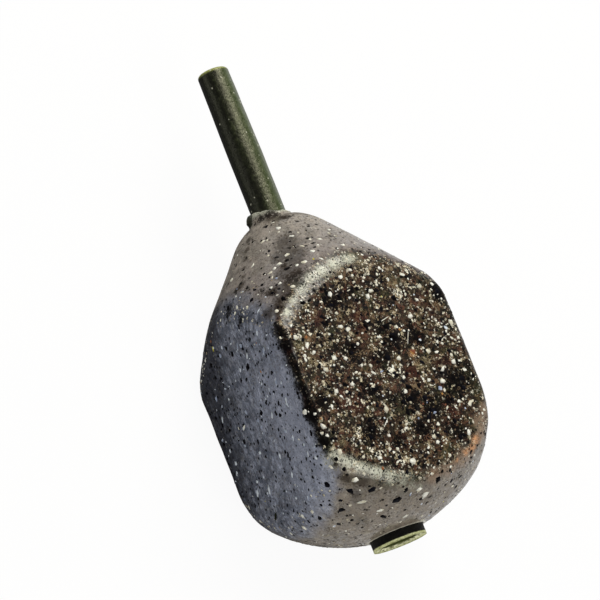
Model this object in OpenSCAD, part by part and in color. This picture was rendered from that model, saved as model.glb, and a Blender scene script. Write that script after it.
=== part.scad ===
/* [Lead] */
// Width across the two side flats, coating included
body_w = 20.5; // [17:0.5:22]
// Height across the top and bottom flats, coating included
body_h = 20; // [17:0.5:22]
// Length from the nose to the tail end, coating included
body_l = 35.5; // [32:0.5:42]
// Radius of the domed nose
nose_r = 16; // [15:0.5:20]
// Angle between the two sides of the tail cone, in degrees
cone_angle = 79; // [60:1:90]
// Radius of the rounded tail end
tail_r = 6.5; // [5:0.5:9]
// Radius of the long edges between the flats
edge_r = 1.2; // [0.6:0.1:2]
// Thickness of the speckled coating
coat_t = 0.35; // [0.2:0.05:0.5]
// Height of the lip of coating that stands up round the tail tube
lip_h = 0.7; // [0.3:0.1:1.5]
// Wall of the lip at its top
lip_t = 0.35; // [0.2:0.05:0.8]
// Width by which the lip spreads at its root
lip_spread = 0.8; // [0.4:0.1:1.5]

/* [Tail tube] */
// Outside diameter inside the lead
tube_d = 3.6; // [3.4:0.1:4.2]
// Outside diameter at the tip
tube_tip_d = 3.4; // [2.8:0.1:3.4]
// Bore for the fishing line
line_d = 2; // [1.4:0.1:2.2]
// Length that stands out of the tail end
tube_out = 17; // [12:0.5:30]
// Length of the straight stretch at the tip
tip_l = 9; // [4:0.5:11]
// Rounding of the tip's outer edge
tip_round_r = 0.35; // [0.1:0.05:0.4]

/* [Swivel socket] */
// Outside diameter
socket_d = 5.7; // [5.2:0.1:7]
// Bore that grips the swivel
swivel_d = 4; // [3.6:0.1:4.4]
// Depth of the swivel bore
swivel_depth = 7; // [5:0.5:10]
// Length that stands out of the nose
socket_out = 0.9; // [0.4:0.1:2]
// Depth of the seat for the end of the tail tube
seat_l = 4; // [2:0.5:6]
// Thickness of the web between the seat and the swivel bore
web_t = 0.8; // [0.5:0.1:1.5]
// Hole for the line through the web
web_hole_d = 2.4; // [2.2:0.1:3]
// Rounding of the mouth's outer edge
mouth_round_r = 0.12; // [0.05:0.01:0.3]

/* [Fits] */
// Gap on the radius round the tube and the socket, which both pull out
slide_gap = 0.05; // [0.02:0.01:0.1]

/* [Hidden] */

// Smoothness of every round face
turned_fn = 96;
// Overrun of every cut past the faces it goes through
over = 1.5;

// Heights along the line bore, from the nose at 0 to the tail end at body_l
half_w = body_w / 2;
half_h = body_h / 2;
cone_half = cone_angle / 2;
nose_z = nose_r;
tail_z = body_l - tail_r;
mouth_z = -socket_out;
web_z = mouth_z + swivel_depth;
seat_z = web_z + web_t;
socket_top_z = seat_z + seat_l;
tube_top_z = body_l + tube_out;
taper_top_z = tube_top_z - tip_l;

// Radius of the tail cone at the nose's height, where it would meet the line bore's foot
cone_foot_r = tail_r * cos(cone_half) + (tail_z + tail_r * sin(cone_half)) * tan(cone_half);

// The top and bottom flats run between these heights, and the origin is at the middle of the bottom one
flat_nose_z = nose_z - sqrt(pow(nose_r, 2) - pow(half_h, 2));
flat_tail_z = (cone_foot_r - half_h) / tan(cone_half);
flat_mid_z = (flat_nose_z + flat_tail_z) / 2;

// Radii of the ways that are open through the lead, and of the coating's lip
tube_way_r = tube_d / 2 + slide_gap;
socket_way_r = socket_d / 2 + slide_gap;
lip_r = tube_way_r + lip_t;

// Lays a piece that is drawn upright, nose down, on its bottom flat with its tail towards -X
module laid() {
    translate([flat_mid_z, 0, half_h]) rotate([0, -90, 0]) children();
}

// Dome and barrel cut by the round-ended tail cone, all set in by the same distance
module outline(set_in) {
    r = tail_r - set_in;
    intersection() {
        union() {
            translate([0, nose_z]) circle(nose_r - set_in, $fn = turned_fn);
            translate([0, nose_z]) square([nose_r - set_in, body_l - nose_z]);
        }
        union() {
            translate([0, tail_z]) circle(r, $fn = turned_fn);
            polygon([
                [0, tail_z],
                [0, 0],
                [cone_foot_r - set_in / cos(cone_half), 0],
                [r * cos(cone_half), tail_z + r * sin(cone_half)]
            ]);
        }
        square([nose_r, body_l]);
    }
}

// Section across the line bore: a rectangle with round corners, set in from the flats
module section(set_in) {
    x = half_h - edge_r;
    y = half_w - edge_r;
    square([2 * (half_h - set_in), 2 * y], center = true);
    square([2 * x, 2 * (half_w - set_in)], center = true);
    for (corner = [[x, y], [-x, y], [-x, -y], [x, -y]])
        translate(corner) circle(edge_r - set_in, $fn = turned_fn);
}

// Shape of the lead with its four flats, set in from the outside
module form(set_in) {
    intersection() {
        rotate_extrude($fn = turned_fn) outline(set_in);
        linear_extrude(body_l) section(set_in);
    }
}

// Way through the lead for the tail tube, and the wider one at the nose for the socket
module ways() {
    translate([0, 0, -over]) cylinder(h = body_l + lip_h + 2 * over, r = tube_way_r, $fn = turned_fn);
    translate([0, 0, -over]) cylinder(h = socket_top_z + over, r = socket_way_r, $fn = turned_fn);
}

// Collar that the coating leaves round the tail tube
module lip() {
    root_z = body_l - lip_h - coat_t;
    translate([0, 0, root_z])
        cylinder(h = body_l + lip_h - root_z, r1 = lip_r + lip_spread, r2 = lip_r, $fn = turned_fn);
}

// Round bar with its top outer edge rounded
module rounded_bar(r, height, round_r) {
    rotate_extrude($fn = turned_fn) {
        square([r - round_r, height]);
        square([r, height - round_r]);
        translate([r - round_r, height - round_r]) intersection() {
            circle(round_r, $fn = turned_fn);
            square(round_r);
        }
    }
}

module lead_core() {
    color([0.36, 0.36, 0.38]) laid() difference() {
        form(coat_t);
        ways();
    }
}

module coating() {
    color([0.3, 0.26, 0.25]) laid() difference() {
        union() {
            form(0);
            lip();
        }
        form(coat_t);
        ways();
    }
}

module tail_tube() {
    color([0.16, 0.17, 0.11]) laid() difference() {
        union() {
            translate([0, 0, seat_z]) cylinder(h = body_l - seat_z, d = tube_d, $fn = turned_fn);
            translate([0, 0, body_l])
                cylinder(h = taper_top_z - body_l, d1 = tube_d, d2 = tube_tip_d, $fn = turned_fn);
            translate([0, 0, taper_top_z]) rounded_bar(tube_tip_d / 2, tip_l, tip_round_r);
        }
        translate([0, 0, seat_z - over])
            cylinder(h = tube_top_z - seat_z + 2 * over, d = line_d, $fn = turned_fn);
    }
}

module swivel_socket() {
    color([0.2, 0.21, 0.13]) laid() difference() {
        translate([0, 0, socket_top_z]) mirror([0, 0, 1])
            rounded_bar(socket_d / 2, socket_top_z - mouth_z, mouth_round_r);
        translate([0, 0, mouth_z - over]) cylinder(h = swivel_depth + over, d = swivel_d, $fn = turned_fn);
        translate([0, 0, web_z - over]) cylinder(h = web_t + 2 * over, d = web_hole_d, $fn = turned_fn);
        translate([0, 0, seat_z]) cylinder(h = seat_l + over, r = tube_way_r, $fn = turned_fn);
    }
}

lead_core();
coating();
tail_tube();
swivel_socket();
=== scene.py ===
import math
import random

import bmesh
import bpy
import numpy as np
from mathutils import Matrix, Vector, noise
from mathutils.bvhtree import BVHTree


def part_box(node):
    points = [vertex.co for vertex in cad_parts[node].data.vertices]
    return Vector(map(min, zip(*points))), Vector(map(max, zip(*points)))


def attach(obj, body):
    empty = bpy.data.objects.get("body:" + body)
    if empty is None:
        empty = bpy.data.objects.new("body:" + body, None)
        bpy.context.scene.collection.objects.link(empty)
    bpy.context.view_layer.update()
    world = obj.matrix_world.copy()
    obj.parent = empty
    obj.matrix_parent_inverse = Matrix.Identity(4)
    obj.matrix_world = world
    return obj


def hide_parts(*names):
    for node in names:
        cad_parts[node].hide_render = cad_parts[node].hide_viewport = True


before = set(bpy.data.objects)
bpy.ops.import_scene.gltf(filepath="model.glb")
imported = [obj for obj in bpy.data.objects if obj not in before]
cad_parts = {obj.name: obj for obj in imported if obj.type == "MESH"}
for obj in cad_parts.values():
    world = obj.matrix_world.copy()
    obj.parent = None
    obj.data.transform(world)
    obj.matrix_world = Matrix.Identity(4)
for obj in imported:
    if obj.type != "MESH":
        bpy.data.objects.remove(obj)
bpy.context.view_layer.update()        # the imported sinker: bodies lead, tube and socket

mm = 0.001
mergeWithin = 0.002  # mm


# a wire is one output socket of a node, and sums on wires add Math nodes
class wire:
    def __init__(self, tree, socket):
        self.tree, self.socket = tree, socket

    def calc(self, operation, *terms):
        return self.tree.add("ShaderNodeMath", {"operation": operation}, dict(enumerate(terms)))

    def __add__(self, other):
        return self.calc("ADD", self, other)

    def __mul__(self, other):
        return self.calc("MULTIPLY", self, other)

    def __sub__(self, other):
        return self.calc("SUBTRACT", self, other)

    def __rsub__(self, other):
        return self.calc("SUBTRACT", other, self)

    def __gt__(self, other):
        return self.calc("GREATER_THAN", self, other)

    __radd__, __rmul__ = __add__, __mul__

    def size(self):  # without its sign
        return self.calc("ABSOLUTE", self)

    def most(self, other):
        return self.calc("MAXIMUM", self, other)

    def far(self, other):  # distance, from two sides at right angles
        return self.calc("SQRT", self * self + other * other)

    def fade(self, start, end):  # 0 at start, 1 at end, smooth between
        return self.tree.add("ShaderNodeMapRange", {"interpolation_type": "SMOOTHSTEP"},
                             {0: self, 1: start, 2: end, 3: 0.0, 4: 1.0})


class shaderTree:
    def __init__(self, owner):
        owner.use_nodes = True
        self.nodes, self.links = owner.node_tree.nodes, owner.node_tree.links
        self.nodes.clear()

    def add(self, kind, settings=None, values=None, out=0):
        node = self.nodes.new(kind)
        for name, value in (settings or {}).items():
            if name == "stops":  # a ramp's colours, as {place: colour}
                for spot, colour in value.items():
                    node.color_ramp.elements.new(spot).color = colour
                for spare in (node.color_ramp.elements[-1], node.color_ramp.elements[0]):
                    node.color_ramp.elements.remove(spare)
            else:
                setattr(node, name, value)
        for key, value in (values or {}).items():
            if isinstance(value, wire):
                self.links.new(value.socket, node.inputs[key])
            else:
                node.inputs[key].default_value = value
        return wire(self, node.outputs[out] if node.outputs else None)

    def mix(self, factor, first, second):
        return self.add("ShaderNodeMix", {"data_type": "RGBA"}, {0: factor, 6: first, 7: second}, out=2)

    def cover(self, base, colours, layers):  # layers, lowest first: a colour's name and how much of it
        for name, amount in layers:
            base = self.mix(amount, base, colours[name])
        return base

    def millimetres(self):  # Object coordinates, counted in mm
        place = self.add("ShaderNodeTexCoord", out=3)
        return self.add("ShaderNodeVectorMath", {"operation": "SCALE"}, {0: place, 3: 1 / mm})

    def axes(self, vector):
        return [self.add("ShaderNodeSeparateXYZ", None, {0: vector}, out=k) for k in range(3)]

    def squeezed(self, vector, share):  # patterns come out longer along the bore
        return self.add("ShaderNodeVectorMath", {"operation": "MULTIPLY"}, {0: vector, 1: (share, 1.0, 1.0)})

    def painted(self, layer):  # a weight that is painted on the mesh
        return self.add("ShaderNodeAttribute", {"attribute_name": layer}, out=2)

    def cloud(self, vector, perMm, detail=3.0, rough=0.55):
        return self.add("ShaderNodeTexNoise", None,
                        {"Vector": vector, "Scale": perMm, "Detail": detail, "Roughness": rough})

    def shift(self, vector, perMm, amount):  # bends the coordinates, so that spots aren't round
        values = {"Vector": vector, "Scale": perMm, "Detail": 2.0}
        wobble = self.add("ShaderNodeTexNoise", None, values, out=1)
        part = self.add("ShaderNodeVectorMath", {"operation": "SCALE"}, {0: wobble, 3: amount})
        return self.add("ShaderNodeVectorMath", {"operation": "ADD"}, {0: vector, 1: part})

    def cells(self, vector, perMm, out=0):
        return self.add("ShaderNodeTexVoronoi", None, {"Vector": vector, "Scale": perMm}, out)

    def grains(self, vector, perMm):  # two random numbers for each cell
        return self.axes(self.cells(vector, perMm, 1))[:2]

    def spots(self, vector, perMm, share, size, soft=0.08):
        # round spots, each with a size of its own, in that share of the cells
        pick, spread = self.grains(vector, perMm)
        edge = self.cells(vector, perMm) - size * (0.55 + 0.9 * spread)
        return (pick > 1 - share) * (1 - edge.fade(-soft, soft))

    def bump(self, height, strength, depth=1.0):
        return self.add("ShaderNodeBump", None,
                        {"Strength": strength, "Distance": depth * mm, "Height": height})

    def surface(self, values):
        shader = self.add("ShaderNodeBsdfPrincipled", None, values)
        self.add("ShaderNodeOutputMaterial", None, {0: shader})


def tint(red, green, blue):  # a screen colour, 0 to 255, as a shader colour
    def line(c):
        c = c / 255
        return c / 12.92 if c <= 0.04045 else ((c + 0.055) / 1.055) ** 2.4
    return (line(red), line(green), line(blue), 1.0)


def newMaterial(name):
    material = bpy.data.materials.new(name)
    tree = shaderTree(material)
    return material, tree, tree.millimetres()


# "along" runs from the nose to the tail on the bore, and "across" is out from the bore, both in mm
leadForm = {
    "flatsY": 20.5, "flatsZ": 20.0, "length": 35.5,
    "noseRadius": 16.0, "tailRadius": 6.5, "coneHalf": 39.5,
    "longEdge": 1.2,  # rounding of the long edges between the flats
    "rim": 1.3,  # rounding where a flat meets the dome or the cone
    "skin": 0.35, "socketWay": 2.9, "tubeWay": 1.85, "socketDepth": 10.9,
    "lipRadius": 2.2, "lipHeight": 0.7, "lipSpread": 0.8,
}
noseRadius = leadForm["noseRadius"]
tailAlong = leadForm["length"] - leadForm["tailRadius"]
coneTurn = math.radians(leadForm["coneHalf"])
lipTop = leadForm["length"] + leadForm["lipHeight"]
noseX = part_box("coating")[0].x / mm + lipTop
boreHeight = (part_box("coating")[0].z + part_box("coating")[1].z) / 2 / mm


def place(along, y, z):
    return Vector((noseX - along, y, boreHeight + z)) * mm


cameraFit = {
    "tilt": 12.1697, "lean": 21.7930, "roll": 31.6260,  # degrees
    "right": 3.3769, "down": 7.6538, "sensor": 36.0,  # mm
    "frame": 600, "focal": 2562.82, "perMm": 9.7876,  # pixels
}


def cameraFrame():  # where the camera is, and its right, down and away
    fit = cameraFit
    tilt, lean, roll = (math.radians(fit[k]) for k in ("tilt", "lean", "roll"))
    tail = Vector((-math.sin(lean) * math.cos(tilt), -math.cos(lean) * math.cos(tilt), math.sin(tilt)))
    flat = Vector((math.cos(lean), -math.sin(lean), 0))
    near = tail.cross(flat)
    if near.z > 0:
        near = -near
    top = math.cos(roll) * near + math.sin(roll) * flat
    across = math.cos(roll + math.pi / 2) * near + math.sin(roll + math.pi / 2) * flat
    rows = [Vector((-tail[k], across[k], top[k])) for k in range(3)]
    middle = Vector((noseX - leadForm["length"] / 2, 0, boreHeight))
    shift = (fit["right"], fit["down"], fit["focal"] / fit["perMm"])
    return middle - sum((rows[k] * shift[k] for k in range(3)), Vector()), rows


def pixelSpot(surface, u, v):  # what the camera sees there: its place and its normal
    spot, rows = cameraFrame()
    half = cameraFit["frame"] / 2
    way = rows[0] * (u - half) + rows[1] * (v - half) + rows[2] * cameraFit["focal"]
    return surface.ray_cast(spot * mm, way.normalized())[:2]


def prismDepth(y, z):  # distance to the four flats, negative inside
    edge = leadForm["longEdge"]
    overY = np.abs(y) - leadForm["flatsY"] / 2 + edge
    overZ = np.abs(z) - leadForm["flatsZ"] / 2 + edge
    corner = np.hypot(np.maximum(overY, 0), np.maximum(overZ, 0))
    return corner + np.minimum(np.maximum(overY, overZ), 0) - edge


def turnedDepth(along, across):  # distance to the dome, cone and round tail, negative inside
    dome = np.hypot(np.minimum(along - noseRadius, 0), across) - noseRadius
    back, sine, cosine = along - tailAlong, math.sin(coneTurn), math.cos(coneTurn)
    cone = back * sine + across * cosine
    tail = np.where(back * cosine > across * sine, np.hypot(back, across), cone)
    return np.maximum(dome, tail - leadForm["tailRadius"])


def formDepth(along, y, z, setIn):  # both together, with the rims between them rounded
    flats, turned = prismDepth(y, z) + setIn, turnedDepth(along, np.hypot(y, z)) + setIn
    rim = leadForm["rim"]
    rounded = np.hypot(np.maximum(rim + flats, 0), np.maximum(rim + turned, 0))
    return np.minimum(-rim, np.maximum(flats, turned)) + rounded


def reachForm(ways, reach, setIn):  # how far the form lies from the dome's centre, each way
    def gap(t):
        return formDepth(noseRadius + ways[:, 0] * t, ways[:, 1] * t, ways[:, 2] * t, setIn)

    step, rounds = 0.01, 12  # the slope is taken over a short step
    for k in range(rounds):
        here = gap(reach)
        reach = reach - here * step / (here - gap(reach - step))
    return reach


def turned(profile, quarterSteps):
    # spins a closed profile of (along, across, mark) a quarter round the bore, and mirrors it twice
    bm = bmesh.new()
    mark = bm.verts.layers.int.new("mark")
    verts = []
    for along, across, kind in profile:
        vert = bm.verts.new(place(along, 0, across))
        vert[mark] = kind
        verts.append(vert)
    edges = [bm.edges.new((verts[k - 1], verts[k])) for k in range(len(verts))]
    bmesh.ops.spin(bm, geom=verts + edges, cent=place(0, 0, 0), axis=(1, 0, 0), dvec=(0, 0, 0),
                   angle=math.pi / 2, steps=quarterSteps, use_merge=False)
    for axis in "YZ":
        bmesh.ops.mirror(bm, geom=bm.verts[:] + bm.edges[:] + bm.faces[:], axis=axis, merge_dist=0,
                         matrix=Matrix.Translation(place(0, 0, 0)).inverted())
    bmesh.ops.remove_doubles(bm, verts=bm.verts, dist=mergeWithin * mm)
    bmesh.ops.recalc_face_normals(bm, faces=bm.faces)
    return bm, mark


def addObject(name, data):
    thing = bpy.data.objects.new(name, data)
    bpy.context.scene.collection.objects.link(thing)
    return thing


def meshObject(name, bm, material):
    mesh = bpy.data.meshes.new(name)
    bm.to_mesh(mesh)
    bm.free()
    mesh.materials.append(material)
    return addObject(name, mesh)


def makePiece(name, bm, body, material, nodes=()):
    for face in bm.faces:
        face.smooth = True
    piece = meshObject(name, bm, material)
    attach(piece, body)
    if nodes:
        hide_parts(*nodes)


def arc(alongMid, acrossMid, radius, start, end, count):
    # points on a small round, angles in degrees from the tail direction outwards
    points = []
    for k in range(count):
        turn = math.radians(start + (end - start) * k / (count - 1))
        points.append((alongMid + radius * math.cos(turn), acrossMid + radius * math.sin(turn), 0))
    return points


def stretch(first, last, count, kind=0):  # the points between two ends, without the ends
    return [(first[0] + (last[0] - first[0]) * k / count, first[1] + (last[1] - first[1]) * k / count, kind)
            for k in range(1, count)]


# the speckled coating
coatShape = {
    "columns": 256, "rowAngle": 0.75, "innerRows": 44, "wayRows": 8,
    "firstOut": 20.0, "firstIn": 14.0,  # radii of the rows before they are fitted to the form
    "cornerPull": 0.45,  # draws columns towards the long edges
    "inset": 0.01,  # how far the skin lies inside the solid's
    "hollow": 0.1,  # how much thicker than the solid the shell is
    "lumpDepth": 0.10, "lumpPerMm": 0.17, "dimpleDepth": 0.035, "dimplePerMm": 0.6,
    "calmReach": 5, "calmShare": 0.4,  # no lumps round the two holes
    # the lip's profile: mm from its root, its outer edge and its hole's edge
    "lipRoot": [(0.11, -0.30), (0.27, -0.52), (0.50, -0.68)], "lipRise": (0.80, 0.04),
    "lipEdge": [(-0.28, 0.01), (-0.14, 0.0), (-0.05, -0.05), (0.0, -0.14)],
    "lipHole": [(-0.02, 0.10), (-0.09, 0.02), (-0.20, 0.0)],
    # the hole in the nose: mm from its edge
    "mouthStart": 0.12, "mouthInside": 0.1, "mouthEdge": [(0.10, 0.01), (0.03, 0.04)],
}
outerMark, innerMark, lipMark = 1, 2, 3


def formRows(first, last, count, radius, kind):  # rows at even angles round the dome's centre
    rows = []
    for k in range(count + 1):
        turn = math.radians(first + (last - first) * k / count)
        rows.append((noseRadius - radius * math.cos(turn), radius * math.sin(turn), kind))
    return rows


def fitRows(bm, mark, wanted, setIn, lumpy):
    # moves the marked rows out to the form, with low lumps
    s = coatShape
    verts = [vert for vert in bm.verts if vert[mark] == wanted]
    centre = place(noseRadius, 0, 0)
    away = np.array([(vert.co - centre) / mm for vert in verts])
    away /= np.linalg.norm(away, axis=1)[:, None]
    across, turn = np.hypot(away[:, 1], away[:, 2]), np.arctan2(away[:, 1], away[:, 2])
    turn += s["cornerPull"] / 4 * np.sin(4 * turn)
    ways = np.stack([-away[:, 0], across * np.sin(turn), across * np.cos(turn)], 1)
    reach = reachForm(ways, np.full(len(verts), s["firstOut"]), setIn)
    if lumpy:
        spots = [Vector(way) for way in ways * reach[:, None]]
        low = np.array([noise.noise(spot * s["lumpPerMm"]) for spot in spots])
        elsewhere = Vector((7, 3, 1))
        fine = np.array([noise.noise(spot * s["dimplePerMm"] + elsewhere) for spot in spots])
        depth = s["lumpDepth"] * low + s["dimpleDepth"] * fine
        ends = np.clip(across * reach / s["calmReach"] - s["calmShare"], 0, 1)
        reach = reachForm(ways, reach, setIn + s["inset"] + depth * ends)
    for vert, way, far in zip(verts, ways, reach):
        vert.co = place(noseRadius + way[0] * far, way[1] * far, way[2] * far)


def buildCoating():
    s, form, way = coatShape, leadForm, leadForm["socketWay"]
    noseStart = math.degrees(math.asin((way + s["mouthStart"]) / noseRadius))
    rootAcross = form["lipRadius"] + form["lipSpread"]
    rootAlong = tailAlong + math.sqrt(form["tailRadius"] ** 2 - rootAcross ** 2)
    tailEnd = 180 - math.degrees(math.atan2(rootAcross, rootAlong - noseRadius))
    rows = round((tailEnd - noseStart) / s["rowAngle"])
    profile = formRows(noseStart, tailEnd, rows, s["firstOut"], outerMark)
    lip, hole = form["lipRadius"], form["tubeWay"]
    profile += [(rootAlong + a, rootAcross + b, lipMark) for a, b in s["lipRoot"]]
    profile += [(rootAlong + s["lipRise"][0], lip + s["lipRise"][1], lipMark)]
    profile += [(lipTop + a, lip + b, lipMark) for a, b in s["lipEdge"]]
    profile += [(lipTop + a, hole + b, lipMark) for a, b in s["lipHole"]]
    inner = form["skin"] + s["hollow"]
    innerTail = tailAlong + math.sqrt((form["tailRadius"] - inner) ** 2 - hole ** 2)
    innerStart = 180 - math.degrees(math.atan2(hole, innerTail - noseRadius))
    innerNose = noseRadius - math.sqrt((noseRadius - inner) ** 2 - way ** 2)
    innerEnd = math.degrees(math.asin(way / (noseRadius - inner)))
    profile += stretch(profile[-1], (innerTail, hole), s["wayRows"], lipMark)
    profile += formRows(innerStart, innerEnd, s["innerRows"], s["firstIn"], innerMark)
    mouth = noseRadius - math.sqrt(noseRadius ** 2 - way ** 2)
    profile += [((innerNose + mouth) / 2 + s["mouthInside"], way, 0)]
    profile += [(mouth + a, way + b, 0) for a, b in s["mouthEdge"]]
    bm, mark = turned(profile, s["columns"] // 4)
    fitRows(bm, mark, outerMark, 0.0, True)
    fitRows(bm, mark, innerMark, inner, False)
    raggedLip(bm, mark)
    bm.normal_update()
    return bm, mark


lipWear = {
    "depth": 1.4, "crestDepth": 0.3,
    "high": 243, "drop": 1.1, "rise": 0.3,  # degrees round the bore, and mm
    "torn": 0.22, "tornWaves": 2.3, "tornFrom": 0.1, "chipped": 0.05, "chipWaves": 9.0,
    "swell": 0.04, "swellWaves": 6.0, "swellFrom": 0.3,
    "nubTurn": 250, "nubWidth": 16, "nubOut": 0.36, "nubDown": 0.55, "nubTall": 0.4,
}


def raggedLip(bm, mark):
    # the lip stands highest on one side, and its edge is torn a little, with a nub
    s, axis = lipWear, place(0, 0, 0)
    top, root = noseX - lipTop, noseX - lipTop + s["depth"]
    crest = bm.verts.layers.float.new("crest")  # 1 on the top of the lip
    for vert in bm.verts:
        if vert[mark] != lipMark:
            continue
        vert[crest] = 1.0 if vert.co.x / mm < top + s["crestDepth"] else 0.0
        y, z, x = (vert.co.y - axis.y) / mm, (vert.co.z - axis.z) / mm, vert.co.x / mm
        high = min(max((root - x) / (root - top), 0), 1)
        turn = math.atan2(y, z)
        ring = Vector((math.cos(turn), math.sin(turn), 0))
        drop = s["drop"] * (0.5 - 0.5 * math.cos(turn - math.radians(s["high"]))) - s["rise"]
        drop += s["torn"] * max(noise.noise(ring * s["tornWaves"] + Vector((2, 5, 0))) + s["tornFrom"], 0)
        drop += s["chipped"] * (1 + noise.noise(ring * s["chipWaves"]))
        off = (math.degrees(turn) - s["nubTurn"] + 540) % 360 - 180
        down = (x - top - s["nubDown"]) / s["nubTall"]
        nub = math.exp(-(off / s["nubWidth"]) ** 2) * math.exp(-down ** 2)
        across = math.hypot(y, z)
        grow = s["swell"] * noise.noise(ring * s["swellWaves"] + Vector((0, 0, x))) + s["nubOut"] * nub
        grow = 1 + grow * min(max((across - leadForm["tubeWay"]) / s["swellFrom"], 0), 1) / across
        vert.co.x = (x + drop * high) * mm
        vert.co.y, vert.co.z = axis.y + y * grow * mm, axis.z + z * grow * mm


stainPlaces = {
    # where the camera sees each patch, and its radius, in pixels
    # dark patches; the ones just under the lip are painted shade
    "sootAndShade": [
        (384, 327, 8), (390, 340, 10), (384, 357, 7), (352, 350, 9), (332, 305, 7), (437, 291, 9),
        (415, 338, 10), (456, 380, 12), (412, 399, 8), (394, 402, 7), (432, 408, 11), (371, 430, 10),
        (457, 431, 9), (322, 400, 10), (371, 389, 9), (291, 277, 7), (284, 266, 4), (289, 295, 4),
        (268, 216, 6), (276, 216, 6), (284, 217, 5), (261, 219, 5), (293, 276, 8), (299, 273, 7),
        (289, 281, 6), (297, 281, 6), (288, 296, 4), (280, 301, 4), (279, 307, 4), (272, 293, 4),
        (261, 291, 3), (236, 291, 4), (247, 289, 3), (241, 319, 8), (229, 312, 8), (240, 318, 6),
        (349, 293, 7), (424, 430, 7), (398, 440, 7), (446, 400, 7)],
    "rust": [
        (359, 315, 11), (425, 300, 12), (318, 317, 12), (362, 331, 9), (357, 405, 14), (404, 439, 11),
        (342, 399, 11), (290, 348, 8), (437, 358, 11), (412, 373, 11), (453, 411, 12), (374, 365, 10)],
    # a gold film; beside the upper and lower rims it is partly a painted highlight
    "gold": [
        (305, 304, 13), (306, 339, 9), (300, 348, 9), (316, 389, 8), (343, 443, 8), (359, 263, 14),
        (337, 270, 11), (390, 280, 11), (424, 361, 11), (472, 381, 8), (397, 354, 8), (413, 352, 5),
        (352, 466, 10), (312, 360, 10), (322, 345, 8)],
    # a copper patch on the lower right rim, with a painted highlight at its core
    "copperAndHighlight": [(475, 440, 8), (473, 447, 7), (466, 452, 5), (457, 460, 3), (413, 352, 5)],
    "clay": [
        (481, 423, 10), (484, 408, 8), (463, 460, 10), (450, 468, 10), (470, 454, 8), (480, 436, 8),
        (436, 474, 8)],
    # painted highlight: pale bands along the upper and lower rims of the top flat
    "rimHighlight": [
        (287, 312, 6), (291, 299, 8), (298, 285, 11), (308, 275, 11), (319, 268, 9), (332, 262, 9),
        (346, 258, 9), (338, 457, 10), (349, 463, 11), (362, 469, 11), (376, 474, 11), (390, 480, 11),
        (403, 484, 10), (412, 486, 7), (420, 487, 5)],
    "mossAndSheen": [(248, 219, 7), (249, 224, 6)],
    # painted shade: a darker zone beside the upper rim, under the lip and under the lower rim
    "paintedShade": [
        (286, 244, 13), (283, 255, 13), (293, 258, 12), (291, 268, 13), (283, 274, 11), (282, 288, 11),
        (280, 300, 10), (274, 309, 9), (280, 218, 8), (270, 219, 7), (249, 232, 3), (248, 241, 3),
        (247, 250, 3), (246, 259, 3), (244, 268, 3), (243, 277, 3), (241, 286, 4), (296, 252, 7),
        (299, 262, 8), (362, 480, 7), (355, 494, 6), (345, 478, 5)],
}
stainEdge = {"even": 0.9, "uneven": 1.1, "perMm": 0.55, "rimAt": 0.25, "rimWidth": 0.6}


def paintStains(bm):
    # soft round weights, one attribute for each kind of patch, that the finish breaks up with noise
    def paint(name, weights):
        layer = bm.verts.layers.float.new(name)
        for vert, value in zip(bm.verts, weights):
            vert[layer] = value

    s, surface = stainEdge, BVHTree.FromBMesh(bm)
    points = np.array([vert.co for vert in bm.verts])
    uneven = np.array([noise.noise(vert.co / mm * s["perMm"]) for vert in bm.verts])
    uneven = s["even"] + s["uneven"] * uneven
    for kind, places in stainPlaces.items():
        weight = np.zeros(len(points))
        for u, v, radius in places:
            spot = pixelSpot(surface, u, v)[0]
            if spot is not None:
                away = np.linalg.norm(points - np.array(spot), axis=1) / (radius / cameraFit["perMm"] * mm)
                weight = np.maximum(weight, np.exp(-away ** 2 * uneven))
        paint(kind, weight)
    along, y, z = noseX - points[:, 0] / mm, points[:, 1] / mm, points[:, 2] / mm - boreHeight
    apart = prismDepth(y, z) - turnedDepth(along, np.hypot(y, z))
    # 1 where a flat meets the dome or the cone
    paint("rim", np.exp(-((apart - s["rimAt"]) / s["rimWidth"]) ** 2))


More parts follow.
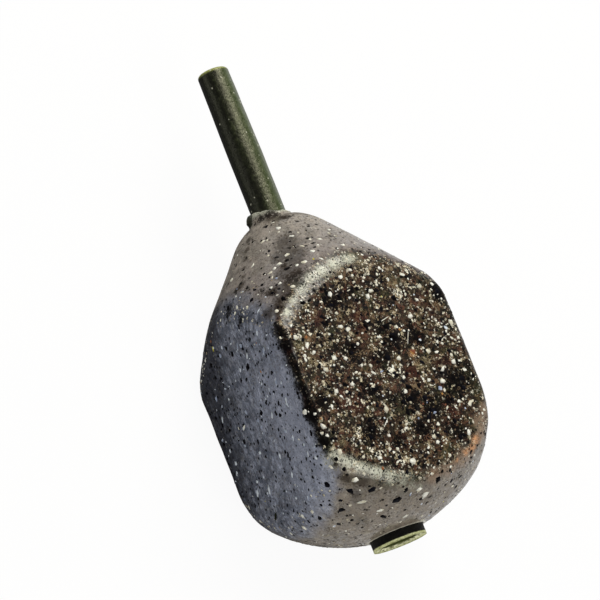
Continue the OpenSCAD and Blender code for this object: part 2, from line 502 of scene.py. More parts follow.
coatFinish = {
    # where each zone starts and ends: mm out from the bore, with noise added
    # the blue zone is the side flats' painted reflection, and the band the long edges' painted dark
    # reflection
    "worn": (9.6, 10.3), "blue": (9.4, 11.6), "edgeShade": (19.55, 20.15), "mouth": 3.4,
    # how strongly each colour covers what is under it
    "grain": 0.84, "rust": 0.55, "olive": 0.38, "clay": 0.6, "copperAndHighlight": 0.85, "streak": 0.45, "navy": 0.5,
    "glint": 0.85, "slate": 0.60, "high": 0.46, "low": 0.82, "filmAndSheen": 0.7, "paintedShade": 0.76, "edge": 0.97,
    "dust": 0.65, "grit": 0.85, "pits": 0.95, "grainPerMm": (2.1, 3.8),
    "roughness": 0.5, "specular": 0.02, "gloss": 0.20, "glossRoughness": 0.2, "glossIor": 1.65,
    "colours": {
        "cone": tint(131, 124, 124), "dome": tint(138, 129, 118), "pearl": tint(166, 158, 148),
        # the side flats' blue-greys stand in for a reflection of the pale floor: painted reflection
        "side": tint(138, 146, 166), "slate": tint(62, 70, 86), "paleReflection": tint(178, 185, 208),
        # the near-black also paints shade: under the lip, and the long edges' dark reflection
        "navy": tint(20, 20, 32), "sootAndShade": tint(8, 7, 9), "coarse": tint(50, 42, 35),
        "fern": tint(30, 34, 18), "olive": tint(60, 66, 42), "rust": tint(84, 38, 28),
        "copperAndHighlight": tint(222, 166, 122), "clay": tint(146, 124, 106), "gold": tint(176, 160, 122),
        # the pale rim colour serves both rubbed wear and painted highlights
        "tan": tint(134, 114, 88), "cream": tint(226, 222, 206), "wearAndHighlight": tint(194, 196, 180),
    },
    "grains": {  # the mineral grains of the worn flats, by share
        0.02: tint(5, 5, 6), 0.22: tint(11, 10, 12), 0.34: tint(34, 25, 20), 0.50: tint(64, 46, 35),
        0.64: tint(56, 54, 36), 0.74: tint(88, 55, 43), 0.85: tint(102, 82, 60), 0.92: tint(140, 124, 96),
        0.96: tint(200, 190, 162), 0.985: tint(242, 238, 222),
    },
}


def coatMaterial():
    s, c = coatFinish, coatFinish["colours"]
    material, tree, at = newMaterial("speckled_coating_finish")
    x, y, z = tree.axes(at)
    stainAndShade = {kind: tree.painted(kind) for kind in stainPlaces}
    fine = tree.cloud(at, 4.6, 3, 0.7)
    tiny = tree.cloud(at, 9.0, 2, 0.6)
    rough = tree.cloud(at, 0.6, 3)
    medium = tree.cloud(tree.shift(at, 0.6, 1.5), 1.1, 4, 0.65)
    broad = tree.cloud(tree.shift(at, 0.3, 2.5), 0.42, 3, 0.6)
    speck, flake, blotch, drift = fine - 0.5, tiny - 0.5, medium - 0.5, broad - 0.5  # both ways from nought
    bent = tree.shift(at, 3.5, 0.22)

    # the top and bottom flats are worn brown; the side flats' blue-grey is a painted reflection of the pale
    # floor, and the long edges' black a painted dark reflection
    rise, side = (z - boreHeight).size(), y.size()
    worn = (rise + 1.2 * rough + 0.9 * y.fade(8.0, 9.8)).fade(*s["worn"])
    # painted reflection: the side flats take a blue-grey that stands in for the pale floor they mirror
    blue = (side + 2.2 * rough).fade(*s["blue"]) * (1 - worn)
    # painted dark reflection: near-black along the rounded long edges, where they mirror the shaded floor
    edgeShade = (rise + side + 1.2 * rough + 0.8 * speck).fade(*s["edgeShade"]) * (1 - 0.5 * y.fade(-2.0, 2.0))
    nose = (x - noseX + 14.0 + 4.0 * broad).fade(0.0, 7.0)
    tail = (noseX - x + 5.0 * drift).fade(23.0, 34.0)
    cone = tree.cover(tree.mix(nose, c["cone"], c["dome"]), c, [
        ("pearl", tail * 0.8),
        ("side", blue),
        ("sootAndShade", (0.6 * broad + 0.4 * medium).fade(0.40, 0.62) * 0.30)])

    # grains, strong on the worn flats and faint elsewhere
    coarse, flour = (
        tree.add("ShaderNodeValToRGB", {"stops": s["grains"]}, {0: tree.grains(bent, perMm)[0]})
        for perMm in s["grainPerMm"])
    base = tree.mix(0.14 + s["grain"] * worn, cone, tree.mix(fine.fade(0.42, 0.58), coarse, flour))
    base = tree.cover(base, c, [
        ("rust", (0.6 * stainAndShade["rust"] + 2.2 * speck + 0.9 * blotch).fade(0.25, 0.65) * s["rust"]),
        ("olive", (broad + 0.5 * speck).fade(0.52, 0.68) * (0.12 + s["olive"] * worn)),
        ("clay", stainAndShade["clay"].fade(0.1, 0.7) * s["clay"]),
        ("copperAndHighlight", (stainAndShade["copperAndHighlight"] * 0.8 + 1.6 * speck).fade(0.25, 0.8) * s["copperAndHighlight"])])

    # streaks and mottling on the side flats, with painted glints, a painted reflection lighter above and
    # painted shade darker below
    along = tree.squeezed(at, 0.5)
    streak = tree.cloud(tree.shift(along, 0.8, 0.6), 1.8, 5, 0.75)
    glint = tree.cloud(tree.shift(along, 1.5, 0.5), 2.3, 3, 0.7)
    mottle = tree.cloud(tree.shift(at, 1.2, 0.8), 1.2, 4, 0.7)
    # painted reflection: lighter towards the top of the side flats
    high = (z - boreHeight + 5.0 * drift).fade(-3.0, 7.0) * (x - noseX + 24.0).fade(0.0, 9.0)
    slope = x.calc("MINIMUM", 0.3 * (x + 2.0), 0.5 * (x + 2.0))
    # painted shade: darker towards the bottom of the side flats, where the floor under them is in shade
    low = (boreHeight - z - slope + 6.0 * drift + 4.0 * blotch).fade(1.5, 7.5)
    base = tree.cover(base, c, [
        ("paleReflection", (streak + 0.5 * drift).fade(0.48, 0.64) * blue * s["streak"]),
        ("navy", (streak + 0.6 * drift).fade(0.56, 0.38) * blue * s["navy"]),
        ("paleReflection", (glint + 0.6 * streak).fade(0.92, 0.99) * blue * s["glint"]),
        ("slate", mottle.fade(0.49, 0.59) * blue * s["slate"]),
        ("paleReflection", high * blue * s["high"]),
        ("navy", low * side.fade(8.6, 9.6) * s["low"])])

    # a pale film over some patches, partly a painted highlight beside the rims; rubbed rims, with painted
    # highlights along the top flat's upper and lower rims; a pale ring round the nose hole; a painted
    # highlight on the lip's crest
    rimHighlight, rim = stainAndShade["rimHighlight"], tree.painted("rim") * rise.fade(8.0, 9.0)
    rubbedAndLit = (0.5 * rim + 0.6 * rimHighlight + 2.6 * speck + 1.4 * flake).fade(0.42, 0.75)
    mouth = (s["mouth"] - y.far(z - boreHeight) + 0.5 * speck).fade(0.0, 0.3) * nose
    base = tree.cover(base, c, [
        ("gold", (stainAndShade["gold"] * 0.6 + 2.6 * speck + 1.6 * flake).fade(0.35, 0.85) * s["filmAndSheen"]),
        # rubbed rims, with painted highlights where the pale rim places lie
        ("wearAndHighlight", rubbedAndLit * rim.most(0.7 * rimHighlight) * (0.2 + 0.8 * rimHighlight)),
        ("cream", mouth * 0.8),
        # painted highlight on the lip's crest
        ("wearAndHighlight", tree.painted("crest") * fine.fade(0.3, 0.5) * 0.9)])

    # dark marks and painted shade, then dust, grit and pits
    dark = (0.25 + 0.5 * medium + 0.34 * stainAndShade["sootAndShade"] + 1.5 * speck + 0.8 * flake).fade(0.58, 0.64)
    clear = (1 - 0.75 * dark) * (1 - 0.8 * edgeShade)
    dust = tree.spots(bent, 5.2, 0.24, 0.27) * (0.16 + 0.84 * worn) * (1 - 0.7 * blue) * clear
    grit = tree.spots(bent, 2.9, 0.20, 0.26) * (0.14 + 0.86 * worn) * clear
    blots = tree.spots(tree.shift(at, 2.0, 0.35), 1.15, 0.22, 0.19)
    blots = blots * (0.5 * medium + 0.5 * broad).fade(0.40, 0.52)
    pits = tree.spots(bent, 2.2, 0.22, 0.26).most(blots) * (1 - 0.8 * rim * rimHighlight)
    base = tree.cover(base, c, [
        ("sootAndShade", dark * (0.45 + 0.50 * worn.most(stainAndShade["sootAndShade"]))),
        # painted shade in a coarse brown beside the rims and under the lip
        ("coarse", (stainAndShade["paintedShade"] + 0.8 * speck).fade(0.0, 0.8) * s["paintedShade"]),
        ("fern", stainAndShade["mossAndSheen"].fade(0.15, 0.5) * 0.92),
        # painted dark reflection along the long edges
        ("sootAndShade", edgeShade * s["edge"]),
        ("tan", dust * s["dust"]), ("cream", dust * (tiny > 0.50) * 0.8),
        ("cream", grit * s["grit"]), ("sootAndShade", pits * s["pits"])])

    # a patchy gloss that pits, dark marks and the black edges don't have
    gloss = s["gloss"] + 0.80 * (0.35 * medium + 0.35 * streak + 0.3 * fine).fade(0.42, 0.56)
    dull = (1 - pits) * (1 - 0.95 * dark) * (1 - 0.7 * stainAndShade["copperAndHighlight"]) * (1 - 0.95 * edgeShade)
    height = (fine * 0.05 + tiny * 0.015) * (0.3 + 0.7 * worn) + medium * 0.10 + grit * 0.02 - pits * 0.05
    tree.surface({
        "Base Color": base, "Roughness": s["roughness"] + 0.25 * fine, "Specular IOR Level": s["specular"],
        "Coat Weight": dull * gloss, "Coat Roughness": s["glossRoughness"], "Coat IOR": s["glossIor"],
        "Normal": tree.bump(height, 1.0),
    })
    return material


# grit: small flat chips set in the coating
gritShared = {  # for every kind that doesn't say otherwise
    "flat": 0.04, "narrow": 0.5, "shine": 0.3,
    "clumpFrom": 0.45, "rimFrom": 0.4,  # painted weights where these regions start
    "tailFrom": 28, "squareFrom": 0.93,  # mm from the nose, and how square a face is to an axis
    "crowding": 1.6, "crowdPerMm": 0.3, "leastCrowd": 0.15,
    "turn": 6.283, "push": 0.3, "sunk": 0.25, "looksNarrow": 0.9,
    "batch": 60,  # small batches keep the operator quick
    "cellPerMm": 1.6, "second": (0.35, 0.9),  # which chips have the second colour
    "grainPerMm": 6.0, "grain": 0.3, "roughness": 0.45, "uneven": 0.2, "bump": 0.4, "bumpDepth": 0.05,
}
gritKinds = {
    # chips for each square mm of the regions that regionOf names; half sizes in mm
    "pale_grit": {
        "top": 0.80, "side": 0.03, "rest": 0.24, "tail": 0.16, "clump": 0.25, "rim": 0.5,
        "small": 0.10, "large": 0.27, "flat": 0.05, "narrow": 0.45, "seed": 11,
        "colours": (tint(238, 238, 230), tint(214, 209, 190))},
    "sand_grit": {
        "top": 0.62, "side": 0.0, "rest": 0.18, "tail": 0.10, "clump": 0.15, "rim": 0.8,
        "small": 0.07, "large": 0.19, "seed": 12, "shine": 0.2,
        "colours": (tint(196, 190, 168), tint(140, 124, 96))},
    "dark_grit": {
        "top": 0.75, "side": 0.42, "rest": 0.34, "tail": 0.08, "clump": 1.0, "rim": 0.05,
        "small": 0.12, "large": 0.34, "narrow": 0.6, "seed": 13, "shine": 0.03,
        "colours": (tint(6, 5, 7), tint(14, 14, 22))},
    "amber_grit": {
        "top": 0.02, "side": 0.002, "rest": 0.003, "tail": 0.003, "clump": 0.0, "rim": 0.01,
        "small": 0.09, "large": 0.22, "flat": 0.05, "seed": 14,
        "colours": (tint(172, 126, 66), tint(122, 66, 42))},
    # pale blue chips on the side flats: partly flecks, partly painted glints
    "frost_glint_grit": {
        "top": 0.03, "side": 0.28, "rest": 0.05, "tail": 0.02, "clump": 0.04, "rim": 0.02,
        "small": 0.11, "large": 0.32, "narrow": 0.35, "seed": 16,
        "colours": (tint(226, 234, 244), tint(150, 162, 190))},
    "yellow_grit": {
        "top": 0.003, "side": 0.002, "rest": 0.002, "tail": 0.0, "clump": 0.0, "rim": 0.0,
        "small": 0.08, "large": 0.16, "flat": 0.05, "seed": 15,
        "colours": (tint(206, 198, 60), tint(150, 146, 60))},
}
# the largest chips that the camera sees: pixel, length and width in pixels, and any lean in degrees
largeChips = {
    "pale_grit": [
        (386, 422.5, 14, 0.9, 58), (385, 318.7, 13.6, 0.9, 36), (408, 337.4, 18, 0.8, 76),
        (286.5, 255, 6, 5, 30), (312.5, 251, 6, 4), (279, 264, 7, 3.5, 10), (292.6, 286.5, 5.5, 4),
        (276.5, 311, 5, 4), (330, 294.5, 6, 6), (352, 275.5, 4, 3), (368, 274, 5, 3, 20), (370.5, 291, 7, 4),
        (368, 296.5, 5, 5), (340.5, 277, 6, 4), (379, 268, 5, 4, 40), (377, 308, 4, 4),
        (367.5, 321, 6, 5, 40), (340.5, 326.5, 6, 4), (348, 329, 6, 6), (295.5, 337, 6, 6),
        (338, 340.5, 4, 4), (334, 358, 6, 5), (345.5, 358, 5, 5), (307, 345, 4, 7), (306, 360, 4, 6, 20),
        (402.5, 274.5, 8, 4), (419.5, 286, 6, 4, -30), (432, 284, 5, 4), (416.5, 299.5, 6, 3, -30),
        (451, 322, 6, 6), (410, 316, 7, 5), (428, 350.5, 6, 6), (437, 352, 6, 3, 20), (399, 358, 6, 5),
        (393, 370, 6, 6), (443, 369, 5, 7), (453.5, 361.5, 6, 5), (403.5, 377, 4, 5), (443, 381, 7, 5),
        (429, 380, 5, 4), (352.5, 384, 7, 5, 30), (336.5, 391.5, 5, 5), (326, 369.5, 6, 5),
        (304.5, 412.5, 6, 6), (323, 426, 7, 5, -30), (339.5, 452, 6, 6), (386.5, 409, 5, 7),
        (470.5, 402, 5, 5), (438, 424, 5, 4), (469, 432, 5, 6), (412, 461, 7, 5), (331, 467, 6, 3, -30),
        (273, 222.5, 5, 2, 30), (278.5, 228, 7, 5, -20), (292, 236, 7, 3, -10), (262.5, 242, 6, 3, 40),
        (302, 246, 6, 2, -30), (304, 262, 8, 4), (362, 502, 12, 4, 15), (380, 510.5, 9, 4, 15),
        (406, 516, 8, 4, 20), (425, 495, 10, 7, 20), (419, 490, 7, 6), (270.2, 272.8, 7, 3.5, 40),
        (274.6, 268.4, 5, 4, 50), (271.3, 287.4, 4, 3.5), (297, 265, 4, 4, 20), (252.6, 265.6, 3, 7, -20),
        (319.6, 239, 7, 2.5), (342.8, 245, 6, 2.5, -15), (321, 258.5, 6, 2.5, -20), (244, 427.5, 3, 8, -10),
        (304, 528, 7, 5, 10), (355, 480, 7, 5), (380, 458, 6, 5), (414, 461, 6, 6)],
    "dark_grit": [
        (272, 293, 5, 5), (313, 243, 6, 3), (270, 289, 3, 3), (336, 459, 5, 5), (344, 469, 5, 4),
        (327, 485, 7, 6, 20), (350, 491, 8, 7), (371, 490, 9, 7, 30), (397, 500, 10, 8),
        (406, 490, 7, 5, 30), (342, 510, 8, 6), (320, 519, 4, 4), (339, 524, 4, 5), (385, 517, 4, 4),
        (421, 499, 6, 5), (438, 479, 7, 7), (330, 505, 4, 4), (321, 505, 4, 3), (407, 472, 5, 5),
        (450, 470, 4, 4), (250, 340, 4, 7, -15), (266, 355, 4, 4), (248, 367, 5, 8, -20), (241, 380, 4, 5),
        (266, 403, 5, 4), (262, 420, 5, 4), (285, 452, 4, 5), (290, 459, 4, 5), (322, 345, 5, 4),
        (258, 442, 5, 5), (386, 326, 9, 7, 20), (393, 336, 10, 7, -10), (384, 343, 8, 6, 30),
        (354, 346, 8, 6), (351, 353, 7, 5, 40), (388, 358, 9, 7), (462, 378, 9, 7, 30), (464, 388, 7, 6),
        (425, 398, 8, 5), (433, 410, 10, 6, 30), (429, 417, 7, 5, 20), (372, 430, 8, 6), (371, 437, 6, 5),
        (331, 305, 7, 5), (404, 402, 7, 6), (411, 398, 6, 5, 30), (351, 268, 6, 5), (345, 385, 7, 5),
        (376, 389, 7, 6, 20), (437, 291, 6, 6)],
    "yellow_grit": [(213, 349, 3, 6)],
    # pale blue chips where the side flats show glints: painted glints
    "frost_glint_grit": [
        (276, 382, 10, 4, 75), (269, 490, 12, 4, 82), (257.5, 493, 10, 5, 70), (293, 438, 8, 3, 80),
        (222.5, 420, 9, 3, 78), (216.5, 399, 8, 3, 78), (272, 415, 9, 3, 70), (263.5, 351, 9, 4, 55),
        (257, 332, 8, 3, 75), (237.5, 347, 10, 2, 75), (308, 454, 8, 2.5, 80), (292, 475, 8, 3, 80),
        (308.5, 498, 8, 3, 80), (247, 356, 8, 3, 65), (286, 400, 7, 3, 70)],
    "amber_grit": [(413, 352, 8, 5, -10), (306, 337, 4, 4)],
}


def regionOf(face, rim, sootAndShade):
    s, first = gritShared, face.verts[0]
    if first[sootAndShade] > s["clumpFrom"]:
        return "clump"
    if first[rim] > s["rimFrom"]:
        return "rim"
    if first.co.x / mm < noseX - s["tailFrom"]:
        return "tail"
    if abs(face.normal.z) > s["squareFrom"]:
        return "top"
    return "side" if abs(face.normal.y) > s["squareFrom"] else "rest"


def outerFaces(bm, mark):
    # (corner points, normal, area in square mm, region) of each face of the coating's outside
    rim, sootAndShade = bm.verts.layers.float["rim"], bm.verts.layers.float["sootAndShade"]
    faces = []
    for face in bm.faces:
        if all(vert[mark] == outerMark for vert in face.verts):
            corners, area = [vert.co.copy() for vert in face.verts], face.calc_area() / mm ** 2
            faces.append((corners, face.normal.copy(), area, regionOf(face, rim, sootAndShade)))
    # the operators leave the faces in another order each run, and the random draws need one order
    faces.sort(key=lambda entry: [tuple(corner) for corner in entry[0]])
    return faces


def addChip(bm, draw, kind, spot, normal, long, wide, turn):
    # a flat, uneven chip, mostly sunk in the coating; turn is the rotation of its long side
    size = Matrix.Diagonal((long * mm, wide * mm, kind["flat"] * mm, 1))
    sunk = Matrix.Translation(spot - normal * kind["flat"] * kind["sunk"] * mm)
    chip = bmesh.ops.create_icosphere(bm, subdivisions=1, radius=1, matrix=sunk @ turn @ size)
    for vert in chip["verts"]:
        push = Vector((draw.uniform(-1, 1), draw.uniform(-1, 1), draw.uniform(-1, 1)))
        push -= normal * push.dot(normal)
        vert.co += push * wide * kind["push"] * mm


def buildGrit(name, kind, faces, surface):
    draw, lot = random.Random(kind["seed"]), Vector((kind["seed"], 0, 0))
    running, total = [], 0.0
    for corners, normal, area, region in faces:
        crowd = 1 + kind["crowding"] * noise.noise(corners[0] / mm * kind["crowdPerMm"] + lot)
        total += area * kind[region] * max(crowd, kind["leastCrowd"])
        running.append(total)
    whole, part = bmesh.new(), bmesh.new()
    hold = bpy.data.meshes.new("hold")
    chosen = draw.choices(faces, cum_weights=running, k=round(total))
    for count, (corners, normal, area, region) in enumerate(chosen):
        low = corners[0].lerp(corners[1], draw.random())
        spot = low.lerp(corners[-1].lerp(corners[2], draw.random()), draw.random())
        long = kind["small"] + (kind["large"] - kind["small"]) * draw.random() ** 2
        spin = Matrix.Rotation(draw.uniform(0, kind["turn"]), 4, "Z")
        turn = normal.to_track_quat("Z", "Y").to_matrix().to_4x4() @ spin
        wide = long * draw.uniform(kind["narrow"], 1.0)
        addChip(part, draw, kind, spot, normal, long, wide, turn)
        if count % kind["batch"] == kind["batch"] - 1 or count == len(chosen) - 1:
            part.to_mesh(hold)
            whole.from_mesh(hold)
            part.clear()
    right, down = cameraFrame()[1][:2]
    half = 0.5 / cameraFit["perMm"]
    for u, v, long, wide, *lean in largeChips.get(name, []):
        spot, normal = pixelSpot(surface, u, v)
        if spot is None:
            continue
        lean = math.radians(sum(lean))
        side = right * math.cos(lean) - down * math.sin(lean)
        side = (side - normal * side.dot(normal)).normalized()
        turn = Matrix((side, normal.cross(side), normal)).transposed().to_4x4()
        addChip(whole, draw, kind, spot, normal, long * half, wide * half / kind["looksNarrow"], turn)
    bpy.data.meshes.remove(hold)
    part.free()
    return whole


def gritMaterial(name, kind):
    material, tree, at = newMaterial(name + "_finish")
    first, second = kind["colours"]
    lot, grain = tree.grains(at, kind["cellPerMm"])[0], tree.cloud(at, kind["grainPerMm"], 3)
    colour = tree.mix(lot.fade(*kind["second"]), first, second)
    colour = tree.mix(grain.fade(0.5, 0.8) * kind["grain"], colour, second)
    tree.surface({"Base Color": colour, "Roughness": kind["roughness"] + kind["uneven"] * grain,
                  "Specular IOR Level": kind["shine"],
                  "Normal": tree.bump(grain, kind["bump"], kind["bumpDepth"])})
    return material


# the cast lead inside
leadCore = {
    "gap": 0.12,  # how far it lies inside the coating's inner side
    "columns": 96, "rows": 60, "firstOut": 14.0, "wayRows": 24, "stepRows": 3, "mouthRows": 12,
    "light": tint(96, 98, 102), "dark": tint(62, 63, 68), "bright": tint(128, 130, 132),
    "cloudPerMm": 0.5, "grainPerMm": 4.0, "metal": 0.85, "roughness": 0.42, "uneven": 0.3,
}


def buildCore():
    s, form = leadCore, leadForm
    setIn = form["skin"] + s["gap"]
    wide, narrow, deep = form["socketWay"], form["tubeWay"], form["socketDepth"]
    innerRadius = noseRadius - setIn
    nose = noseRadius - math.sqrt(innerRadius ** 2 - wide ** 2)
    tail = tailAlong + math.sqrt((form["tailRadius"] - setIn) ** 2 - narrow ** 2)
    first = math.degrees(math.asin(wide / innerRadius))
    last = 180 - math.degrees(math.atan2(narrow, tail - noseRadius))
    profile = formRows(first, last, s["rows"], s["firstOut"], innerMark)
    profile += stretch((tail, narrow), (deep, narrow), s["wayRows"]) + [(deep, narrow, 0)]
    profile += stretch((deep, narrow), (deep, wide), s["stepRows"]) + [(deep, wide, 0)]
    profile += stretch((deep, wide), (nose, wide), s["mouthRows"])
    bm, mark = turned(profile, s["columns"] // 4)
    fitRows(bm, mark, innerMark, setIn, False)
    return bm


def leadMaterial():
    s, (material, tree, at) = leadCore, newMaterial("cast_lead_finish")
    cloudy, grain = tree.cloud(at, s["cloudPerMm"], 4), tree.cloud(at, s["grainPerMm"], 4, 0.65)
    colour = tree.mix(cloudy.fade(0.35, 0.7), s["light"], s["dark"])
    colour = tree.mix(grain.fade(0.55, 0.8) * 0.5, colour, s["bright"])
    tree.surface({"Base Color": colour, "Metallic": s["metal"],
                  "Roughness": s["roughness"] + s["uneven"] * grain,
                  "Normal": tree.bump(grain + cloudy, 0.5, 0.1)})
    return material


# the stiff tail tube
tailTube = {
    "diameter": 3.6, "tipDiameter": 3.4, "bore": 2.0, "start": 6.9, "taper": 43.5, "end": 52.5,
    "round": 0.35, "boreRound": 0.12, "bevel": 0.15, "boreBevel": 0.1, "waver": 0.02, "waverPerMm": 0.5,
    "columns": 96, "wallRows": 70, "tipRows": 24, "boreRows": 40,
    "stretched": 0.12, "streakPerMm": 1.6, "grainPerMm": 3.0,
    "dusty": 0.35, "stainAndShade": 0.75, "mossAndSheen": 0.5, "tip": 0.85, "tipLong": 0.45, "rootLong": 4.5, "dust": 0.85,
    "roughness": 0.12, "uneven": 0.40, "ior": 1.7, "sheen": (1.0, 1.0, 0.74, 1.0),
    "colours": {
        # the near-black and the moss green also paint the tube's shaded and lit sides
        "dark": tint(6, 7, 4), "green": tint(26, 35, 13), "dusty": tint(80, 90, 52), "stainAndShade": tint(3, 3, 3),
        "mossAndSheen": tint(62, 78, 34), "tip": tint(150, 156, 84), "dust": tint(196, 196, 180),
    },
}


def buildTube():
    s = tailTube
    outer, tip, bore, edge = s["diameter"] / 2, s["tipDiameter"] / 2, s["bore"] / 2, s["round"]
    start, small = (s["start"] + s["bevel"], outer), s["boreRound"]
    inner = s["start"] + s["boreBevel"]
    profile = [(*start, 0)] + stretch(start, (s["taper"], outer), s["wallRows"])
    profile += [(s["taper"], outer, 0)] + stretch((s["taper"], outer), (s["end"] - edge, tip), s["tipRows"])
    profile += arc(s["end"] - edge, tip - edge, edge, 90, 0, 7)
    profile += arc(s["end"] - small, bore + small, small, 0, -90, 4)
    profile += stretch((s["end"] - small, bore), (inner, bore), s["boreRows"])
    profile += [(inner, bore, 0), (s["start"], bore + s["boreBevel"], 0)]
    profile += [(s["start"], outer - s["bevel"], 0)]
    bm, mark = turned(profile, s["columns"] // 4)
    axis = place(0, 0, 0)
    for vert in bm.verts:  # the extruded wall isn't quite even
        away = Vector((0, vert.co.y - axis.y, vert.co.z - axis.z))
        if away.length > (bore + 0.3) * mm:
            uneven = 1 + noise.noise(vert.co / mm * s["waverPerMm"])
            vert.co -= away.normalized() * s["waver"] * uneven * mm
    return bm


def tubeMaterial():
    s, c = tailTube, tailTube["colours"]
    material, tree, at = newMaterial("olive_tube_finish")
    x, y, z = tree.axes(at)
    streak = tree.cloud(tree.squeezed(at, s["stretched"]), s["streakPerMm"], 4, 0.6)
    grain = tree.cloud(at, s["grainPerMm"], 4, 0.65)
    # black along one side and green along the other, partly the tube's own colour and partly painted shade
    # and painted light; more dust near the lip
    # painted shade on one side and painted light on the other
    litAndShadedSides = 0.9 * (streak - 0.5) - 0.9 * y - 0.45 * (z - boreHeight)
    # partly a painted highlight: a lighter olive over the tube's last part, where its rounded end catches
    # the light
    tip = (noseX - s["end"] + s["tipLong"] - x).fade(0.0, 0.3)
    root = (x - noseX + lipTop + s["rootLong"]).fade(0.0, 4.0)
    dust = tree.spots(tree.shift(at, 3.0, 0.15), 2.6, 0.12 + 0.3 * root, 0.20)
    colour = tree.cover(tree.mix(streak.fade(0.35, 0.7), c["dark"], c["green"]), c, [
        ("dusty", (grain + 0.6 * (streak - 0.5)).fade(0.50, 0.68) * s["dusty"]),
        ("stainAndShade", litAndShadedSides.fade(-0.1, 0.7) * s["stainAndShade"]), ("mossAndSheen", litAndShadedSides.fade(-0.3, -1.2) * s["mossAndSheen"]),
        ("tip", tip * s["tip"]), ("dust", dust * s["dust"])])
    tree.surface({"Base Color": colour, "Roughness": s["roughness"] + s["uneven"] * grain, "IOR": s["ior"],
                  "Specular Tint": s["sheen"],
                  "Normal": tree.bump(streak * 0.06 + grain * 0.09 + dust * 0.03, 0.7)})
    return material


# the soft swivel socket
swivelSocket = {
    "diameter": 5.7, "hole": 4.0, "out": 0.9, "depth": 7.0, "web": 0.8, "webHole": 2.4,
    "seat": 4.0, "seatBore": 3.6, "columns": 128, "wallRows": 36, "holeRows": 20, "seatRows": 10,
    "ragged": 0.26, "dents": ((0.6, 1.1), (0.5, 3.7)),  # how deep and how many for each mm
    # mm from the hole's edge, and from the outer edge of the cut face
    "holeEdge": [(0.03, 0.05), (0.0, 0.16)], "rimEdge": [(0.0, -0.10), (0.02, -0.03)],
    "wallFrom": 0.09, "holeFrom": 0.12,  # mm behind the cut face
    "roughness": 0.5, "uneven": 0.3, "specular": 0.15, "cutDeep": 0.42,
    "dark": tint(6, 6, 5), "olive": tint(16, 17, 11), "inside": tint(84, 90, 50),
    "cutDark": tint(128, 130, 86), "cut": tint(240, 242, 206), "cutRim": tint(216, 222, 158),
}


def buildSocket():
    s = swivelSocket
    outer, hole, front = s["diameter"] / 2, s["hole"] / 2, -s["out"]
    web = front + s["depth"]
    seat, end = web + s["web"], web + s["web"] + s["seat"]
    webHole, seatBore = s["webHole"] / 2, s["seatBore"] / 2
    holeEdge = [(front + a, hole + b, 1) for a, b in s["holeEdge"]]
    rimEdge = [(front + a, outer + b, 1) for a, b in s["rimEdge"]]
    wall, holeFrom = (front + s["wallFrom"], outer), front + s["holeFrom"]
    profile = holeEdge + stretch(holeEdge[-1], rimEdge[0], 6, 1) + rimEdge + [(*wall, 0)]
    profile += stretch(wall, (end, outer), s["wallRows"])
    profile += [(end, outer, 0), (end, seatBore, 0)]
    profile += stretch((end, seatBore), (seat, seatBore), s["seatRows"])
    profile += [(seat, seatBore, 0), (seat, webHole, 0)]
    profile += stretch((seat, webHole), (web, webHole), 3) + [(web, webHole, 0), (web, hole, 0)]
    profile += stretch((web, hole), (holeFrom, hole), s["holeRows"]) + [(holeFrom, hole, 1)]
    bm, mark = turned(profile, s["columns"] // 4)
    (deep, low), (shallow, fine) = s["dents"]
    for vert in bm.verts:  # the cut face is rough, and never stands out further
        if vert[mark]:
            spot = vert.co / mm
            dent = deep * (1 + noise.noise(spot * low)) + shallow * (1 + noise.noise(spot * fine))
            vert.co.x -= s["ragged"] * dent * mm / (deep + shallow)
    return bm


def socketMaterial():
    s, (material, tree, at) = swivelSocket, newMaterial("soft_olive_finish")
    x, y, z = tree.axes(at)
    grain, cloudy = tree.cloud(at, 2.6, 4, 0.7), tree.cloud(at, 1.1, 3)
    across = y.far(z - boreHeight)
    wall = tree.mix(cloudy.fade(0.35, 0.7), s["dark"], s["olive"])
    wall = tree.mix(across.fade(2.35, 2.1), wall, s["inside"])
    cutColour = tree.mix(grain.fade(0.40, 0.56), s["cutDark"], s["cut"])
    rim = (across + 0.5 * (grain - 0.5)).fade(2.6, 2.85)
    cutColour = tree.mix(rim * 0.6, cutColour, s["cutRim"])
    cut = (x - noseX - s["out"] + s["cutDeep"]).fade(0.0, 0.12)
    tree.surface({"Base Color": tree.mix(cut, wall, cutColour),
                  "Roughness": s["roughness"] + s["uneven"] * grain, "Specular IOR Level": s["specular"],
                  "Normal": tree.bump(grain * 0.08 + cloudy * 0.05, 0.8)})
    return material


coatBm, coatMark = buildCoating()
paintStains(coatBm)
outside, coatSurface = outerFaces(coatBm, coatMark), BVHTree.FromBMesh(coatBm)
makePiece("speckled_coat", coatBm, "lead", coatMaterial(), ["coating"])
print("coating made,", len(outside), "outer faces")

for name, values in gritKinds.items():
    kind = {**gritShared, **values}
    bm = buildGrit(name, kind, outside, coatSurface)
    print(name, len(bm.verts) // 12, "chips")
    makePiece(name, bm, "lead", gritMaterial(name, kind))

makePiece("cast_core", buildCore(), "lead", leadMaterial(), ["lead_core"])
makePiece("stiff_tube", buildTube(), "tube", tubeMaterial(), ["tail_tube"])
makePiece("soft_socket", buildSocket(), "socket", socketMaterial(), ["swivel_socket"])
print("core, tube and socket made")


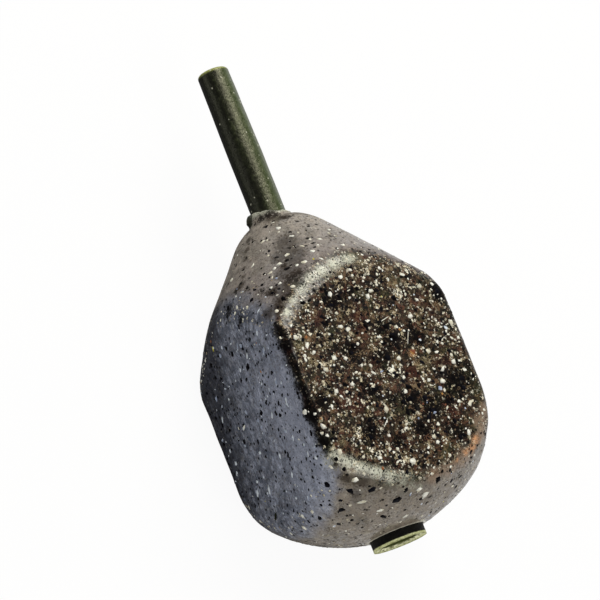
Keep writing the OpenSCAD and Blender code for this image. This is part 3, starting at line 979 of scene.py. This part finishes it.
# floor, lights and camera; way, far and size are in metres
lightBox = {
    "worldFill": 0.25, "upper": 0.08, "horizon": 1.0,
    # mirrorNear dims the floor seen in reflections near the object: a painted shadow
    "cameraGlow": 0.94, "mirrorNear": 0.10, "mirrorFar": 1.0, "nearReach": 14, "farReach": 25,
    "floorHalf": 3.0, "floorDown": 0.0002, "paper": 0.85,
    "lamps": {
        "left": {"way": (-0.66, 0.27, 0.70), "far": 0.45, "size": (0.26, 0.26), "glow": 7.0,
                 "colour": (1.0, 0.97, 0.87)},
        "right": {"way": (0.60, -0.01, 0.80), "far": 0.45, "size": (0.26, 0.22), "glow": 4.0,
                  "colour": (1.0, 0.97, 0.87)},
        "strip": {"way": (-0.28, 0.08, 0.96), "far": 0.45, "size": (0.10, 0.10), "glow": 6.0,
                  "colour": (1.0, 0.98, 0.90)},
        "fill": {"way": (-0.10, 0.50, 0.86), "far": 0.60, "size": (0.4, 0.4), "glow": 0.5,
                 "colour": (1, 1, 1), "hidden": True},
    },
}


def rayKinds(tree):  # 1 for rays that are seen or come through, and for mirrored ones
    seen, gloss, through = (tree.add("ShaderNodeLightPath", out=k) for k in (0, 3, 6))
    return seen.most(through), gloss


def buildWorld():
    s, world = lightBox, bpy.data.worlds.new("studio")
    bpy.context.scene.world = world
    tree = shaderTree(world)
    white, gloss = rayKinds(tree)
    y, up = tree.axes(tree.add("ShaderNodeTexCoord", out=0))[1:]
    low = (1 - up.fade(0.05, 0.45)) * y.fade(-0.3, 0.4)  # dark on the side flat's side
    mirror = s["upper"] + (s["horizon"] - s["upper"]) * low
    level = gloss * mirror + (1 - gloss) * s["worldFill"]
    strength = white + (1 - white) * level
    ground = tree.add("ShaderNodeBackground", None, {"Color": (1, 1, 1, 1), "Strength": strength})
    tree.add("ShaderNodeOutputWorld", None, {0: ground})


def floorMaterial():
    s, (material, tree, at) = lightBox, newMaterial("pale_floor")
    glow, gloss = rayKinds(tree)
    x, y = tree.axes(at)[:2]
    # painted shadow: the floor as seen in reflections is dim near the object, as its shade would be
    ahead, aside = (x + 2.5).most(-0.25 * x), y.most(-0.3 * y)  # the dark part reaches under the tube
    lit = ahead.far(aside).fade(s["nearReach"], s["farReach"])
    mirrored = s["mirrorNear"] + (s["mirrorFar"] - s["mirrorNear"]) * lit
    paper = tree.add("ShaderNodeBsdfDiffuse", None, {"Color": (s["paper"], s["paper"], s["paper"], 1)})
    strength = glow + (1 - glow) * mirrored
    bright = tree.add("ShaderNodeEmission", None, {"Color": (1, 1, 1, 1), "Strength": strength})
    share = (glow * s["cameraGlow"]).most(gloss)
    both = tree.add("ShaderNodeMixShader", None, {0: share, 1: paper, 2: bright})
    tree.add("ShaderNodeOutputMaterial", None, {0: both})
    return material


def buildFloor():
    bm = bmesh.new()
    bmesh.ops.create_grid(bm, x_segments=1, y_segments=1, size=lightBox["floorHalf"],
                          matrix=Matrix.Translation((0, 0, -lightBox["floorDown"])))
    floor = meshObject("floor", bm, floorMaterial())


def areaLamp(name, spec):
    wide, high = spec["size"]
    lamp = bpy.data.lights.new(name, "AREA")
    lamp.shape, lamp.size, lamp.size_y = "RECTANGLE", wide, high
    lamp.energy, lamp.color = spec["glow"] * math.pi * wide * high, spec["colour"]
    holder = addObject(name, lamp)
    way = Vector(spec["way"]).normalized()
    holder.location = place(noseRadius, 0, 0) + way * spec["far"]
    holder.rotation_euler = way.to_track_quat("Z", "X").to_euler()
    holder.visible_glossy, holder.visible_camera = not spec.get("hidden"), False


def buildCamera():
    spot, rows = cameraFrame()
    camera = bpy.data.cameras.new("camera")
    camera.sensor_width = cameraFit["sensor"]
    camera.lens = cameraFit["focal"] / cameraFit["frame"] * cameraFit["sensor"]
    camera.clip_start = 0.01
    holder = addObject("camera", camera)
    turn = Matrix((rows[0], -rows[1], -rows[2])).transposed().to_4x4()
    holder.matrix_world = Matrix.Translation(spot * mm) @ turn
    bpy.context.scene.camera = holder


buildWorld()
buildFloor()
for name, spec in lightBox["lamps"].items():
    areaLamp(name, spec)
buildCamera()
bpy.context.scene.view_settings.view_transform = "Standard"
print("floor, lights and camera made")
